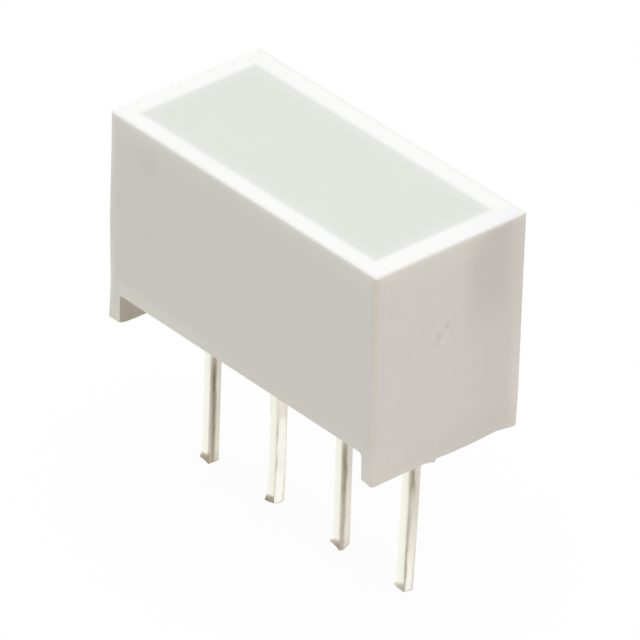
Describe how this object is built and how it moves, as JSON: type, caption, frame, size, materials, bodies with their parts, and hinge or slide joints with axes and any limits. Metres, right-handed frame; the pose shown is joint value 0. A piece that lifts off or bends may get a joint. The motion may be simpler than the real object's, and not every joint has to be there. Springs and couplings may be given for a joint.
{
  "type": "led light bar",
  "caption": "Rectangular through-hole LED light bar: white reflector housing, pale diffused window on top, end skirts as standoffs and a single row of flat leads below",
  "frame": {"origin": "On the seating plane, in the middle of the row of leads, where the board's surface lies.", "axes": "+X along the length, from the first lead to the last; +Y across the width; +Z from the board to the light face."},
  "size_m": [0.0102, 0.005, 0.0109],
  "materials": {
    "white_housing": "satin moulded white plastic",
    "diffused_epoxy": "cast epoxy with diffusing filler, pale grey, smooth",
    "plated_lead": "silver plated lead sheet with sheared edges",
    "led_chip": "semiconductor crystal with sawn sides",
    "die_adhesive": "silver filled adhesive",
    "gold_wire": "drawn gold wire"
  },
  "bodies": {
    "root": {"housing": "white_housing", "epoxy_casting": "diffused_epoxy", "lead_1": "plated_lead", "lead_2": "plated_lead", "lead_3": "plated_lead", "lead_4": "plated_lead", "led_die_a": "led_chip", "led_die_b": "led_chip", "die_attach_a": "die_adhesive", "die_attach_b": "die_adhesive", "bond_wire_a": "gold_wire", "bond_wire_b": "gold_wire"}
  },
  "joints": []
}
